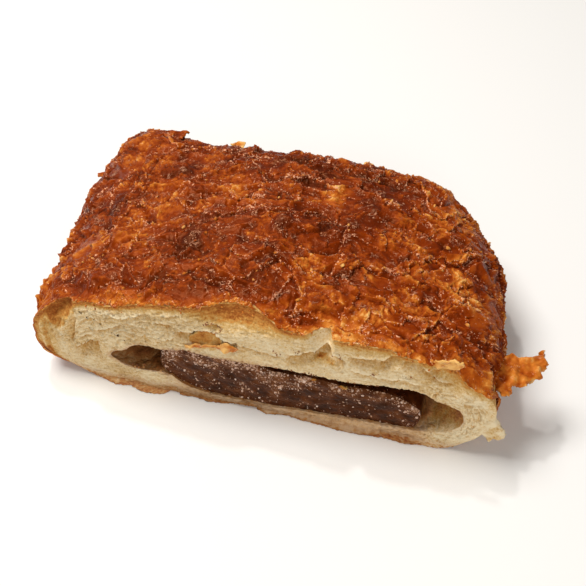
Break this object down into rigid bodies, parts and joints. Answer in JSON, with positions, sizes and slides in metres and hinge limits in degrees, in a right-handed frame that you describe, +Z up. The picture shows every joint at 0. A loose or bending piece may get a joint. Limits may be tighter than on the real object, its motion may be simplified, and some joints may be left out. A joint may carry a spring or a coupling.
{
  "type": "apple strudel",
  "caption": "Half of a baked apple strudel: flaky puff pastry pillow, cut across, with a slab of dark apple filling in its pocket.",
  "frame": {"origin": "bottom centre of the whole object's bounding box, on the surface it lies on", "axes": "+X along the cut face, towards the end with the torn flake; +Y from the cut face to the baked back end; +Z up"},
  "size_m": [0.1369, 0.0746, 0.0376],
  "materials": {
    "baked_crust": "baked puff pastry: egg-washed red-brown flaky crust, pale layered dough at the cut",
    "apple_filling": "moist dark brown apple and cinnamon filling with paler specks"
  },
  "bodies": {
    "root": {"pastry": "baked_crust", "filling": "apple_filling"}
  },
  "joints": []
}
